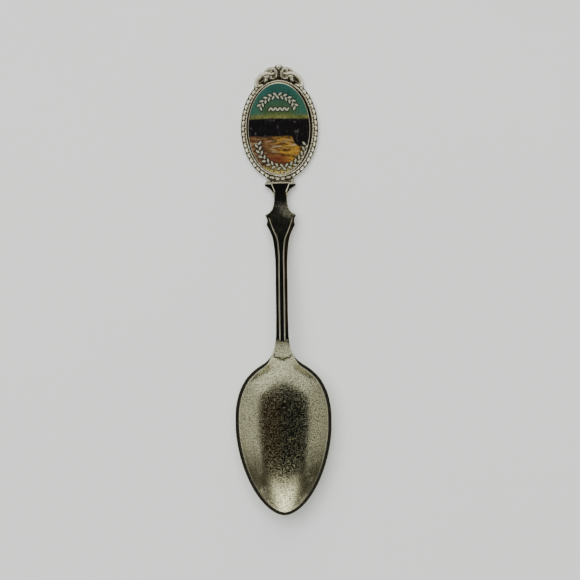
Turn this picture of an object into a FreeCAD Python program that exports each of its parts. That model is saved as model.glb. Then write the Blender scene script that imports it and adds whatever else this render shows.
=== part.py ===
import FreeCAD, Part
import math
import os

# A souvenir spoon lying on its back. Millimetres. +Y runs along the spoon to the finial, +X to the right and
# +Z up. The origin is under the middle of the spoon, on the surface it lies on.

# --- Overall ---
LENGTH = 115.0
CREST_TOP_Y = LENGTH / 2
TIP_Y = -LENGTH / 2

# --- Bowl ---
BOWL_HALF_WIDTH = 12.27
WIDEST_Y = -34.6
TIP_LENGTH = WIDEST_Y - TIP_Y
OUTLINE_POWER_Y = 1.75
OUTLINE_POWER_X = 1.8
RIM_LAND = 1.05
BOWL_WALL = 1.0
HOLLOW_HEEL_Y = -17.0
HOLLOW_STEP = 0.12
KEEL_END_Y = -10.0
DISH_POWER_X = 1.9
DISH_POWER_Y = 2.4
KEEL_POWER = 1.6

# --- Stem ---
NOTCH_TIP_Y = 16.5
NOTCH_TIP_HALF_WIDTH = 3.7
SHELF_Y = 27.5
SHELF_HALF_WIDTH = 3.47
GROOVE_START_Y = -13.4
GROOVE_END_Y = 18.3
GROOVE_WIDTH = 0.34
GROOVE_DEPTH = 0.22
TONGUE_HALF_WIDTH = 3.0
TONGUE_END_Y = 33.0
TONGUE_THICKNESS = 0.6

# --- Finial frame ---
FRAME_Y = 41.2
FRAME_HALF_WIDTH = 9.9
FRAME_HALF_LENGTH = 13.5
BACK_THICKNESS = 1.2
FLANGE_WIDTH = 0.22
FLANGE_HEIGHT = 1.55
BEAD_FLOOR_HEIGHT = 1.8
LIP_OUTER_INSET = 1.19
LIP_HEIGHT = 2.35
LIP_ROUND = 0.18
SEAT_HALF_WIDTH = 8.26
SEAT_HALF_LENGTH = 12.05
BEAD_COUNT = 50
BEAD_RADIUS = 0.53
BEAD_PATH_INSET = 0.7
BEAD_TOP_Y = 50.6
CREST_HEIGHT = 1.35
SCROLL_RADIUS = 0.4
SCROLL_BALL = 1.15
SCROLL_Z = 1.5
PEARL_RADIUS = 0.68
PEARL_DIMPLE_RADIUS = 0.3

# --- Solder ---
FILM = 0.05
CURVED_GAP = 0.03
FILLET_TOP_Z = 1.6
FILLET_DEPTH = 1.3

# --- Picture plate and what is under it ---
PLATE_X = -0.12
PLATE_Y = 41.1
PLATE_HALF_WIDTH = 8.05
PLATE_HALF_LENGTH = 11.93
PAD_THICKNESS = 0.1
FOIL = 0.25
PLATE_EDGE_ROUND = 0.4
PLATE_EDGE_Z = 2.35
DOME_RISE = 0.85
SIDE_GAP = 0.03

# --- Cutting solids ---
REACH = 30.0
BELOW_ALL = -5.0
FACE_REACH = 13.2
FACE_OVERLAP = 0.35
FACE_SPREAD = 1.07


def smooth_through(points, start_slope=None):
    """A smooth function of position through (position, value) points in rising order."""
    places = [point[0] for point in points]
    values = [point[1] for point in points]
    steps = [places[i + 1] - places[i] for i in range(len(points) - 1)]
    rises = [(values[i + 1] - values[i]) / steps[i] for i in range(len(steps))]
    slopes = [rises[0] if start_slope is None else start_slope]
    for i in range(1, len(steps)):
        weighted = steps[i] * rises[i - 1] + steps[i - 1] * rises[i]
        slopes.append(weighted / (steps[i - 1] + steps[i]))
    slopes.append(rises[-1])

    def value(place):
        place = min(max(place, places[0]), places[-1])
        i = 0
        while i < len(steps) - 1 and place > places[i + 1]:
            i += 1
        t = (place - places[i]) / steps[i]
        start = (1 + 2 * t) * (1 - t) ** 2 * values[i] + t * (1 - t) ** 2 * steps[i] * slopes[i]
        end = t ** 2 * (3 - 2 * t) * values[i + 1] + t ** 2 * (t - 1) * steps[i] * slopes[i + 1]
        return start + end

    return value


# Height of the top of the metal: the rim in the bowl, then the top of the arched stem.
top_line = smooth_through([
    (TIP_Y, 7.0), (-46.0, 6.9), (WIDEST_Y, 6.95), (-25.0, 7.0), (-20.5, 7.0), (-18.0, 7.15), (-15.6, 8.25),
    (-13.2, 9.2), (-10.0, 9.3), (-3.0, 8.7), (6.0, 6.85), (16.0, 4.45), (23.0, 2.95), (SHELF_Y, 2.4),
])

# Thickness of the metal at its edge, from the tip to the capital.
edge_thickness = smooth_through([
    (TIP_Y, BOWL_WALL), (WIDEST_Y, BOWL_WALL), (-24.0, 1.05), (-16.0, 1.6), (KEEL_END_Y, 2.1), (5.0, 1.9),
    (18.0, 2.0),
    (24.0, 2.25), (SHELF_Y, 2.4),
])

# Half-width from the widest place of the bowl to the upper tip of the baluster.
shoulder_and_stem = smooth_through([
    (WIDEST_Y, BOWL_HALF_WIDTH), (-29.0, 11.95), (-25.0, 10.75), (-22.0, 8.9), (-19.75, 6.4),
    (-18.3, 4.2), (-16.8, 2.95), (-15.0, 2.15), (-12.5, 1.72), (-9.0, 1.6), (0.0, 1.57), (8.6, 1.66),
    (11.5, 1.95), (13.4, 2.3), (15.5, 3.19), (NOTCH_TIP_Y, NOTCH_TIP_HALF_WIDTH),
], start_slope=0.0)


def point(x, y, z=0.0):
    return FreeCAD.Vector(x, y, z)


def spline(points, start=None, end=None):
    """A smooth edge through points, with its end directions where they are given."""
    curve = Part.BSplineCurve()
    if start is None:
        curve.interpolate(Points=points)
    else:
        curve.interpolate(Points=points, InitialTangent=start, FinalTangent=end)
    return curve.toShape()


def mirrored(shape):
    return shape.mirror(point(0, 0), point(1, 0))


def prism(edges, bottom, height):
    """A solid over a closed plan outline."""
    wire = Part.Wire(Part.__sortEdges__(edges))
    face = Part.Face(wire)
    face.translate(point(0, 0, bottom))
    return face.extrude(point(0, 0, height))


def ellipse_edge(x, y, half_width, half_length):
    """A whole ellipse in plan whose longer axis runs along the spoon."""
    ellipse = Part.Ellipse(point(x, y + half_length), point(x - half_width, y), point(x, y))
    return ellipse.toShape()


def ellipse_prism(x, y, half_width, half_length, bottom, height):
    return prism([ellipse_edge(x, y, half_width, half_length)], bottom, height)


def fused(shapes):
    whole = shapes[0].multiFuse(shapes[1:])
    return whole.removeSplitter()


# --- Outlines of the bowl ---

def tip_points(half_width, length, count):
    """Points of the round end of the bowl, from the tip to its widest place."""
    points = []
    for i in range(count + 1):
        angle = math.pi / 2 * i / count
        x = half_width * math.sin(angle) ** (2 / OUTLINE_POWER_X)
        y = WIDEST_Y - length * max(math.cos(angle), 0.0) ** (2 / OUTLINE_POWER_Y)
        points.append(point(x, y))
    return points


def inset_shoulder(y, inset):
    """The point that lies inside the shoulder outline by the inset, square to it."""
    step = 0.05
    slope = (shoulder_and_stem(y + step) - shoulder_and_stem(y - step)) / (2 * step)
    if y - step < WIDEST_Y:
        slope = 0.0
    size = math.hypot(1.0, slope)
    return point(shoulder_and_stem(y) - inset / size, y + inset * slope / size)


SHOULDER_STATIONS = [
    WIDEST_Y, -32.0, -29.5, -27.0, -25.0, -23.5, -22.0, -20.8, -19.75, -18.9, -18.0, -17.2,
]


def outer_outline():
    """The right half of the plan outline, from the tip of the bowl to the shelf under the finial."""
    tip = spline(tip_points(BOWL_HALF_WIDTH, TIP_LENGTH, 12), point(1, 0), point(0, 1))
    stations = SHOULDER_STATIONS + [-16.0, -15.0, -13.8, -12.5, -9.0, 0.0, 8.6, 11.5, 13.4, 15.5, NOTCH_TIP_Y]
    side = spline([point(shoulder_and_stem(y), y) for y in stations], point(0, 1), point(0.5, 1))
    notch = Part.makeLine(point(NOTCH_TIP_HALF_WIDTH, NOTCH_TIP_Y), point(3.47, 17.5))
    ear = spline([point(3.47, 17.5), point(3.6, 18.1), point(4.05, 19.0)])
    neck = spline([
        point(4.05, 19.0), point(2.6, 20.1), point(1.85, 21.9), point(1.66, 23.2), point(2.04, 24.7),
        point(2.75, 25.75), point(4.0, 26.6),
    ])
    flare = Part.Arc(point(4.0, 26.6), point(3.9, 27.15), point(SHELF_HALF_WIDTH, SHELF_Y)).toShape()
    return [tip, side, notch, ear, neck, flare]


def hollow_outline():
    """The right half of the hollow: inside the rim land, closed at the heel by a curly bracket."""
    tip = spline(
        tip_points(BOWL_HALF_WIDTH - RIM_LAND, TIP_LENGTH - RIM_LAND, 12), point(1, 0), point(0, 1)
    )
    shoulder_points = [inset_shoulder(y, RIM_LAND) for y in SHOULDER_STATIONS]
    shoulder = spline(shoulder_points, point(0, 1), point(-0.5, 1))
    corner = shoulder_points[-1]
    bracket = spline([
        corner, point(corner.x - 0.45, corner.y - 0.12), point(1.2, -17.25), point(0.5, -17.4), point(0.0, -17.9),
    ])
    return [tip, shoulder, bracket]


hollow_half_width = smooth_through(
    [(inset_shoulder(y, RIM_LAND).y, inset_shoulder(y, RIM_LAND).x) for y in SHOULDER_STATIONS],
    start_slope=0.0,
)


# --- Dished surfaces of the bowl ---

def dish(x, y, half_width, tip_length, side_half_width, heel_profile):
    """Depth of a dish at a place, as a share of its greatest depth. It is 0 on the dish's outline."""
    if y <= WIDEST_Y:
        along = (WIDEST_Y - y) / tip_length
        across = abs(x / half_width) ** OUTLINE_POWER_X
        along_outline = along ** OUTLINE_POWER_Y
        if abs(1 - along_outline) < 1e-6:
            ratio = DISH_POWER_Y / OUTLINE_POWER_Y
        else:
            ratio = (1 - along ** DISH_POWER_Y) / (1 - along_outline)
        share = ratio * (1 - along_outline - across)
        return 1 - max(1 - share, 0.0) ** (DISH_POWER_X / OUTLINE_POWER_X)
    return heel_profile(y) * (1 - abs(x / side_half_width(y)) ** DISH_POWER_X)


def hollow_heel_profile(y):
    along = (y - WIDEST_Y) / (HOLLOW_HEEL_Y - WIDEST_Y)
    return 1 - along ** DISH_POWER_Y


def keel_heel_profile(y):
    along = (y - WIDEST_Y) / (KEEL_END_Y - WIDEST_Y)
    return max(1 - along ** 2, 0.0) ** KEEL_POWER


def inner_height(x, y):
    """Height of the inside of the bowl. It starts a small step below the rim land."""
    depth = top_line(WIDEST_Y) - BOWL_WALL - HOLLOW_STEP
    share = dish(
        x, y, BOWL_HALF_WIDTH - RIM_LAND, TIP_LENGTH - RIM_LAND, hollow_half_width, hollow_heel_profile
    )
    return top_line(y) - HOLLOW_STEP - depth * share


def outer_height(x, y):
    depth = top_line(WIDEST_Y) - BOWL_WALL
    share = dish(x, y, BOWL_HALF_WIDTH, TIP_LENGTH, shoulder_and_stem, keel_heel_profile)
    return top_line(y) - edge_thickness(y) - depth * share


def height_face(height, side_half_width, stations):
    """A smooth face over the bowl. It reaches a little past the outline on every side."""
    rows = []
    columns = 24
    for y in stations:
        reach = FACE_REACH
        if y > WIDEST_Y:
            reach = FACE_SPREAD * side_half_width(y) + FACE_OVERLAP
        row = []
        for i in range(columns + 1):
            x = reach * (2 * i / columns - 1)
            row.append(point(x, y, height(x, y)))
        rows.append(row)
    surface = Part.BSplineSurface()
    surface.interpolate(rows)
    return surface.toShape()


def evenly(first, last, count):
    return [first + (last - first) * i / count for i in range(count + 1)]


# --- Bowl and stem ---

def side_profile_slab():
    """Everything between the top line and the underside of the stem, seen from the side."""
    top = spline([point(0, y, top_line(y)) for y in evenly(TIP_Y - 1, SHELF_Y, 40)])
    under = spline([
        point(0, y, top_line(y) - edge_thickness(y)) for y in evenly(KEEL_END_Y, SHELF_Y, 16)
    ])
    keel_end = under.firstVertex().Point
    back_top = top.firstVertex().Point
    edges = [
        top,
        under,
        Part.makeLine(top.lastVertex().Point, under.lastVertex().Point),
        Part.makeLine(keel_end, point(0, KEEL_END_Y, BELOW_ALL)),
        Part.makeLine(point(0, KEEL_END_Y, BELOW_ALL), point(0, back_top.y, BELOW_ALL)),
        Part.makeLine(point(0, back_top.y, BELOW_ALL), back_top),
    ]
    face = Part.Face(Part.Wire(Part.__sortEdges__(edges)))
    face.translate(point(-REACH / 2, 0))
    return face.extrude(point(REACH, 0))


def above_groove_floor():
    """Everything above a line a little below the top of the stem, seen from the side."""
    floor = spline([point(0, y, top_line(y) - GROOVE_DEPTH) for y in evenly(-16.0, SHELF_Y, 24)])
    start = floor.firstVertex().Point
    end = floor.lastVertex().Point
    edges = [
        floor,
        Part.makeLine(end, point(0, end.y, REACH)),
        Part.makeLine(point(0, end.y, REACH), point(0, start.y, REACH)),
        Part.makeLine(point(0, start.y, REACH), start),
    ]
    face = Part.Face(Part.Wire(Part.__sortEdges__(edges)))
    face.translate(point(-REACH / 2, 0))
    return face.extrude(point(REACH, 0))


def reed_groove_band():
    """The right groove in plan, from the tongue up to the raised panel of the baluster."""
    line = smooth_through([
        (GROOVE_START_Y, 0.62), (-6.0, 0.65), (4.0, 0.65), (9.8, 0.68), (13.3, 1.1), (15.6, 1.95),
        (GROOVE_END_Y, 2.7),
    ])
    inner = []
    outer = []
    for y in evenly(GROOVE_START_Y, GROOVE_END_Y, 18):
        inner.append(point(line(y) - GROOVE_WIDTH / 2, y))
        outer.append(point(line(y) + GROOVE_WIDTH / 2, y))
    edges = [
        spline(inner),
        spline(outer),
        Part.makeLine(inner[0], outer[0]),
        Part.makeLine(inner[-1], outer[-1]),
    ]
    return prism(edges, BELOW_ALL, REACH)


def bowl_and_stem():
    right = outer_outline()
    left = [mirrored(edge) for edge in right]
    shelf = Part.makeLine(point(-SHELF_HALF_WIDTH, SHELF_Y), point(SHELF_HALF_WIDTH, SHELF_Y))
    blank = prism(right + left + [shelf], BELOW_ALL, REACH)
    body = blank.common(side_profile_slab())
    keel = height_face(outer_height, shoulder_and_stem, evenly(TIP_Y - 1, KEEL_END_Y, 46))
    body = body.cut(keel.extrude(point(0, 0, -REACH)))
    hollow_right = hollow_outline()
    hollow_left = [mirrored(edge) for edge in hollow_right]
    hollow = prism(hollow_right + hollow_left, BELOW_ALL, REACH)
    dish_face = height_face(inner_height, hollow_half_width, evenly(TIP_Y - 1, -16.4, 42))
    body = body.cut(hollow.common(dish_face.extrude(point(0, 0, REACH))))
    groove = reed_groove_band().common(above_groove_floor())
    body = body.cut(groove)
    body = body.cut(mirrored(groove))
    tongue = Part.makeBox(
        2 * TONGUE_HALF_WIDTH, TONGUE_END_Y - SHELF_Y, TONGUE_THICKNESS, point(-TONGUE_HALF_WIDTH, SHELF_Y)
    )
    return body.fuse(tongue).removeSplitter()


# --- Finial frame ---

def frame_ellipse(inset, bottom, height):
    return ellipse_prism(0, FRAME_Y, FRAME_HALF_WIDTH - inset, FRAME_HALF_LENGTH - inset, bottom, height)


def bead_places():
    """Evenly spaced places along the ring of beads, leaving out those that the crest covers."""
    half_width = FRAME_HALF_WIDTH - BEAD_PATH_INSET
    half_length = FRAME_HALF_LENGTH - BEAD_PATH_INSET
    path = ellipse_edge(0, FRAME_Y, half_width, half_length)
    places = path.discretize(Number=BEAD_COUNT + 1)[:-1]
    return [place for place in places if place.y < BEAD_TOP_Y]


def bead(place):
    """A half ball standing on the floor of the bead channel."""
    ball = Part.makeSphere(BEAD_RADIUS, place, point(0, 0, 1), 0, 90)
    ball.translate(point(0, 0, BEAD_FLOOR_HEIGHT))
    return ball


def round_bar(plan, radius, height):
    """A round bar that follows a smooth plan line at one height and ends in slightly larger balls."""
    path = spline([point(x, y, height) for x, y in plan])
    start = path.valueAt(path.FirstParameter)
    end = path.valueAt(path.LastParameter)
    circle = Part.Circle(start, path.tangentAt(path.FirstParameter), radius).toShape()
    bar = Part.Wire([path]).makePipeShell([Part.Wire([circle])], True, True)
    ball = radius * SCROLL_BALL
    return bar.fuse([Part.makeSphere(ball, start), Part.makeSphere(ball, end)])


def crest_plate():
    """The flat plate behind the scrolls."""
    nub = Part.Arc(point(0, CREST_TOP_Y), point(0.8, 57.3), point(1.15, 56.9)).toShape()
    scroll = Part.Arc(point(1.15, 56.9), point(2.6, 56.8), point(3.5, 56.0)).toShape()
    arm = spline([point(3.5, 56.0), point(4.9, 55.15), point(5.85, 54.2), point(6.2, 53.0), point(6.3, 51.6)])
    inside = Part.makeLine(point(6.3, 51.6), point(5.2, 49.6))
    right = [nub, scroll, arm, inside]
    left = [mirrored(edge) for edge in right]
    bottom = Part.makeLine(point(-5.2, 49.6), point(5.2, 49.6))
    return prism(right + left + [bottom], 0.0, CREST_HEIGHT)


def pearl():
    ball = Part.makeSphere(PEARL_RADIUS, point(3.3, 53.75, CREST_HEIGHT + 0.15))
    dimple = Part.makeSphere(PEARL_DIMPLE_RADIUS, point(3.3, 53.75, CREST_HEIGHT + 0.15 + PEARL_RADIUS))
    return ball.cut(dimple)


def crest_ornament():
    """The right-hand scrolls: a C that opens outward, an arm that curls round a pearl, and its leaf."""
    c_scroll = [(2.35, 56.15), (1.55, 56.4), (0.78, 55.75), (0.68, 54.8), (1.15, 54.1), (2.0, 54.05)]
    arm = [(1.55, 55.15), (2.7, 55.3), (4.1, 54.75), (5.1, 53.85), (5.4, 52.95), (4.7, 52.45), (4.1, 52.5)]
    leaf = [(0.0, 56.55), (0.45, 56.8), (0.75, 57.0)]
    return [
        round_bar(c_scroll, SCROLL_RADIUS * 0.85, SCROLL_Z),
        round_bar(arm, SCROLL_RADIUS, SCROLL_Z - 0.04),
        round_bar(leaf, SCROLL_RADIUS * 0.7, CREST_HEIGHT + 0.03),
        pearl(),
    ]


def finial_frame():
    flange = frame_ellipse(0.0, 0.0, FLANGE_HEIGHT)
    bead_floor = frame_ellipse(FLANGE_WIDTH, 0.0, BEAD_FLOOR_HEIGHT)
    lip = frame_ellipse(LIP_OUTER_INSET, 0.0, LIP_HEIGHT)
    body = fused([flange, bead_floor, lip, crest_plate()])
    ornament = crest_ornament()
    for relief in ornament + [mirrored(shape) for shape in ornament]:
        body = body.fuse(relief)
    body = fused([body] + [bead(place) for place in bead_places()])
    seat = ellipse_prism(
        0, PLATE_Y, SEAT_HALF_WIDTH, SEAT_HALF_LENGTH, BACK_THICKNESS, REACH
    )
    below = Part.makeBox(REACH, REACH, REACH, point(-REACH / 2, FRAME_Y - REACH / 2, -REACH))
    recess = Part.makeBox(
        2 * TONGUE_HALF_WIDTH, TONGUE_END_Y - SHELF_Y + 1.0, TONGUE_THICKNESS + FILM,
        point(-TONGUE_HALF_WIDTH, SHELF_Y - 1.0),
    )
    return body.cut(seat).cut(below).cut(recess)


# --- Solder between the stem and the frame ---

def solder_seam():
    block = Part.makeBox(
        2 * SHELF_HALF_WIDTH, FILLET_DEPTH, FILLET_TOP_Z - TONGUE_THICKNESS,
        point(-SHELF_HALF_WIDTH, SHELF_Y, TONGUE_THICKNESS),
    )
    oval = ellipse_prism(
        0, FRAME_Y, FRAME_HALF_WIDTH + CURVED_GAP, FRAME_HALF_LENGTH + CURVED_GAP, 0.0, REACH
    )
    film = Part.makeBox(
        2 * TONGUE_HALF_WIDTH, TONGUE_END_Y - SHELF_Y, FILM,
        point(-TONGUE_HALF_WIDTH, SHELF_Y, TONGUE_THICKNESS),
    )
    return block.cut(oval).fuse(film).removeSplitter()


# --- Picture plate and what is under it ---

def oval_from_round(profile_edges, half_width, half_length):
    """Turns a profile about a vertical line, then stretches the round shape to the oval plate."""
    face = Part.Face(Part.Wire(Part.__sortEdges__(profile_edges)))
    solid = face.revolve(point(0, 0), point(0, 0, 1), 360)
    stretch = FreeCAD.Matrix()
    stretch.scale(half_width, half_length, 1.0)
    oval = solid.transformGeometry(stretch)
    oval.translate(point(PLATE_X, PLATE_Y))
    return oval


def dome_arc(radius, edge_height, rise):
    """The dome's profile from its edge to its middle, in plan radii of 1."""
    middle = point(radius / 2, 0, edge_height + rise * 0.75)
    return Part.Arc(point(radius, 0, edge_height), middle, point(0, 0, edge_height + rise)).toShape()


def adhesive_pad():
    return ellipse_prism(
        PLATE_X, PLATE_Y, PLATE_HALF_WIDTH - 0.7, PLATE_HALF_LENGTH - 0.7, BACK_THICKNESS, PAD_THICKNESS
    )


def plate_backing():
    """The filler under the dome. It stands on the pad and stops just inside the foil."""
    radius = 1 - (FOIL + 2 * SIDE_GAP) / PLATE_HALF_WIDTH
    bottom = BACK_THICKNESS + PAD_THICKNESS
    edge = PLATE_EDGE_Z - FOIL - 0.25
    edges = [
        dome_arc(radius, edge, DOME_RISE + 0.2),
        Part.makeLine(point(0, 0, edge + DOME_RISE + 0.2), point(0, 0, bottom)),
        Part.makeLine(point(0, 0, bottom), point(radius, 0, bottom)),
        Part.makeLine(point(radius, 0, bottom), point(radius, 0, edge)),
    ]
    return oval_from_round(edges, PLATE_HALF_WIDTH, PLATE_HALF_LENGTH)


def picture_plate():
    """A thin pressed pan: a shallow dome, a rounded edge and a skirt that stands on the seat."""
    skirt = FOIL / PLATE_HALF_WIDTH
    shoulder = PLATE_EDGE_ROUND / PLATE_HALF_WIDTH
    inner_shoulder = shoulder + 0.1 / PLATE_HALF_WIDTH
    bottom = BACK_THICKNESS
    top = PLATE_EDGE_Z
    corner = PLATE_EDGE_ROUND * 0.3
    outer_round = Part.Arc(
        point(1, 0, top - PLATE_EDGE_ROUND), point(1 - shoulder * 0.3, 0, top - corner),
        point(1 - shoulder, 0, top),
    ).toShape()
    outer_dome = dome_arc(1 - shoulder, top, DOME_RISE)
    inner_dome = dome_arc(1 - inner_shoulder, top - FOIL, DOME_RISE)
    edges = [
        outer_round,
        outer_dome,
        Part.makeLine(point(0, 0, top + DOME_RISE), point(0, 0, top - FOIL + DOME_RISE)),
        inner_dome,
        Part.makeLine(point(1 - inner_shoulder, 0, top - FOIL), point(1 - skirt, 0, top - PLATE_EDGE_ROUND)),
        Part.makeLine(point(1 - skirt, 0, top - PLATE_EDGE_ROUND), point(1 - skirt, 0, bottom)),
        Part.makeLine(point(1 - skirt, 0, bottom), point(1, 0, bottom)),
        Part.makeLine(point(1, 0, bottom), point(1, 0, top - PLATE_EDGE_ROUND)),
    ]
    return oval_from_round(edges, PLATE_HALF_WIDTH, PLATE_HALF_LENGTH)


SUBPARTS = {
    "bowl_and_stem": bowl_and_stem,
    "finial_frame": finial_frame,
    "solder_seam": solder_seam,
    "adhesive_pad": adhesive_pad,
    "plate_backing": plate_backing,
    "picture_plate": picture_plate,
}

os.makedirs("parts", exist_ok=True)
for name, make in SUBPARTS.items():
    shape = make()
    box = shape.BoundBox
    print(
        f"{name}: solids {len(shape.Solids)} valid {shape.isValid()} volume {shape.Volume:.2f}"
        f" z {box.ZMin:.3f}..{box.ZMax:.3f} y {box.YMin:.3f}..{box.YMax:.3f} x {box.XMin:.3f}..{box.XMax:.3f}"
    )
    shape.exportStep(f"parts/{name}.step")
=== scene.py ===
import math

import bmesh
import bpy
import numpy as np
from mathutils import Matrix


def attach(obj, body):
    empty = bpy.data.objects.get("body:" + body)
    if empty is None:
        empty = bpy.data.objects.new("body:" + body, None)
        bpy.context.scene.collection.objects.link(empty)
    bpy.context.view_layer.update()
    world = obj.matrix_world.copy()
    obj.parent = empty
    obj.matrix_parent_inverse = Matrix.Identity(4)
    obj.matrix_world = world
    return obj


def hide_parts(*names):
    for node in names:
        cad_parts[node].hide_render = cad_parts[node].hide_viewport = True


# A souvenir spoon on its back. Shapes are worked out in millimetres in the CAD's frame (+Y to the finial,
# +Z up) and turned into metres when a mesh is made.

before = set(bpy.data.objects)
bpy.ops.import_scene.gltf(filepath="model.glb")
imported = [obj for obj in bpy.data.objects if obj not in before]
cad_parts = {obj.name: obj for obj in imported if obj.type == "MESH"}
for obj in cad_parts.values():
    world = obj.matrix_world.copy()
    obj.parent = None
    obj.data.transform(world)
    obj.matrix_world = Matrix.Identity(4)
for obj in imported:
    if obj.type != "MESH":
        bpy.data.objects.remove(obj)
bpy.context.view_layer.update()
MM = 0.001

# --- Bowl ---
TIP_Y = -57.5
BOWL_HALF_WIDTH = 12.27
WIDEST_Y = -34.6
TIP_LENGTH = WIDEST_Y - TIP_Y
OUTLINE_POWER_Y = 1.75
OUTLINE_POWER_X = 1.8
RIM_LAND = 1.05
RIM_ROUND = 0.17
RIM_BEGINS_Y = -16.5
RIM_FULL_Y = -19.5
BOWL_WALL = 1.0
HOLLOW_HEEL_Y = -17.0
HOLLOW_STEP = 0.12
KEEL_END_Y = -10.0
DISH_POWER_X = 1.9
DISH_POWER_Y = 2.4
KEEL_POWER = 1.6

# --- Stem ---
SHELF_Y = 27.5
SHELF_HALF_WIDTH = 3.47
NOTCH_TIP_Y = 16.5
NOTCH_TIP_HALF_WIDTH = 3.7
NOTCH_Y = 17.5
NOTCH_HALF_WIDTH = 3.47
EAR_TIP_Y = 19.0
EAR_TIP_HALF_WIDTH = 4.05
FLARE_TIP_Y = 26.6
FLARE_TIP_HALF_WIDTH = 4.0
STEM_LAND = 0.22
STEM_ROUND = 0.14
UNDER_ROUND = 0.33
NECK_EXTRA_ROUND = 0.14
SIDE_REED_END_Y = -12.7
CENTRE_REED_END_Y = -13.2
GROOVE_DEPTH = 0.12
GROOVE_HALF_WIDTH = 0.165
CROWN_DROP = 0.04
SIDE_REED_DROP = 0.1
CAPITAL_FACET_DROP = 0.3
CAPITAL_FACET_WIDTH = 0.55
LEDGE_DROP = 0.3
LEDGE_WIDTH = 0.32
CREASE_HALF_WIDTH = 0.16
TONGUE_HALF_WIDTH = 3.0
TONGUE_END_Y = 33.0
TONGUE_THICKNESS = 0.6
TONGUE_BEVEL = 0.08
SOLDER_TOP = 1.75
SOLDER_DROP = 0.35

# --- Finial frame ---
FRAME_Y = 41.2
FRAME_HALF_WIDTH = 9.9
FRAME_HALF_LENGTH = 13.5
BACK_THICKNESS = 1.2
FLANGE_WIDTH = 0.22
FLANGE_HEIGHT = 1.6
CHANNEL_HEIGHT = 1.55
LIP_OUTER_INSET = 1.17
LIP_HEIGHT = 2.3
SEAT_INSET = 1.62
NOTCH_CLEARANCE = 0.05
BEAD_COUNT = 50
BEAD_INSET = 0.7
BEAD_HALF_LENGTH = 0.76
BEAD_HALF_WIDTH = 0.53
BEAD_TOP = 2.15
CREST_START_Y = 51.6
CREST_BASE = 1.2
CREST_RELIEF = 0.95
CREST_INNER_INSET = 1.3
CREST_EDGE_ROUND = 0.14
PEARL_X = 3.4
PEARL_Y = 53.55
PEARL_RADIUS = 0.8
PEARL_DIMPLE_RADIUS = 0.28
RIDGE_POWER = 1.2

# --- Picture plate ---
PLATE_X = -0.12
PLATE_Y = 41.1
PLATE_HALF_WIDTH = 8.05
PLATE_HALF_LENGTH = 11.93
PLATE_EDGE_Z = 2.35
PLATE_EDGE_ROUND = 0.4
DOME_RISE = 0.8
LEAF_RISE = 0.14
HALO_DIP = 0.03
LEAF_HALF_LENGTH = 0.72
LEAF_HALF_BREADTH = 0.34
LEAF_FROM_STALK = 0.42
LEAF_LEAN = 0.75

# --- Light and camera ---
LAMP_SIZE_M = 1.2
LAMP_WATTS = 26.0
LAMP_PLACE_M = (-0.2, 0.3, 1.2)
FLOOR_HALF_SIZE = 1500.0
FLOOR_Z = -0.02
CAMERA_HEIGHT = 700.0
CAMERA_X = 2.1
CAMERA_Y = -0.21
CAMERA_TURN_DEGREES = -0.82
VIEW_WIDTH = 147.9
SUBJECT_HEIGHT = 4.0


# --- Curves ---

def smooth_through(points, start_slope=None):
    """A smooth function of position through (position, value) points in rising order."""
    places = np.array([point[0] for point in points], float)
    values = np.array([point[1] for point in points], float)
    steps = np.diff(places)
    rises = np.diff(values) / steps
    slopes = np.empty(len(points))
    slopes[0] = rises[0] if start_slope is None else start_slope
    slopes[1:-1] = (steps[1:] * rises[:-1] + steps[:-1] * rises[1:]) / (steps[:-1] + steps[1:])
    slopes[-1] = rises[-1]

    def value(place):
        place = np.clip(place, places[0], places[-1])
        i = np.clip(np.searchsorted(places, place, side="right") - 1, 0, len(steps) - 1)
        t = (place - places[i]) / steps[i]
        start = (1 + 2 * t) * (1 - t) ** 2 * values[i] + t * (1 - t) ** 2 * steps[i] * slopes[i]
        end = t ** 2 * (3 - 2 * t) * values[i + 1] + t ** 2 * (t - 1) * steps[i] * slopes[i + 1]
        return start + end

    return value


def smooth_step(low, high, value):
    """0 below low, 1 above high, and a smooth rise between them."""
    t = np.clip((value - low) / (high - low), 0.0, 1.0)
    return t * t * (3 - 2 * t)


def distance_to(line, x, y):
    """Plan distance from each place to the nearest of a line's points."""
    nearest = np.full(np.shape(x), np.inf)
    for px, py in line:
        nearest = np.minimum(nearest, np.hypot(x - px, y - py))
    return nearest


def smooth_line(points, count):
    """Evenly counted points along a smooth line through plan points."""
    points = np.array(points, float)
    lengths = np.hypot(*np.diff(points, axis=0).T)
    along = np.concatenate([[0.0], np.cumsum(lengths)])
    x = smooth_through(list(zip(along, points[:, 0])))
    y = smooth_through(list(zip(along, points[:, 1])))
    places = np.linspace(0.0, along[-1], count)
    return np.stack([x(places), y(places)], axis=1)


# Height of the metal's top along the middle, from the tip to the shelf.
top_line = smooth_through([
    (TIP_Y, 7.0), (-46.0, 6.9), (WIDEST_Y, 6.95), (-25.0, 7.0), (-20.5, 7.0), (-18.0, 7.15), (-15.6, 8.25),
    (-13.2, 9.2), (-10.0, 9.3), (-3.0, 8.7), (6.0, 6.85), (16.0, 4.45), (23.0, 2.95), (SHELF_Y, 2.4),
])

# Thickness of the metal at its edge.
edge_thickness = smooth_through([
    (TIP_Y, BOWL_WALL), (WIDEST_Y, BOWL_WALL), (-24.0, 1.05), (-16.0, 1.6), (KEEL_END_Y, 2.1), (5.0, 1.9),
    (18.0, 2.0), (24.0, 2.25), (SHELF_Y, 2.4),
])

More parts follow.
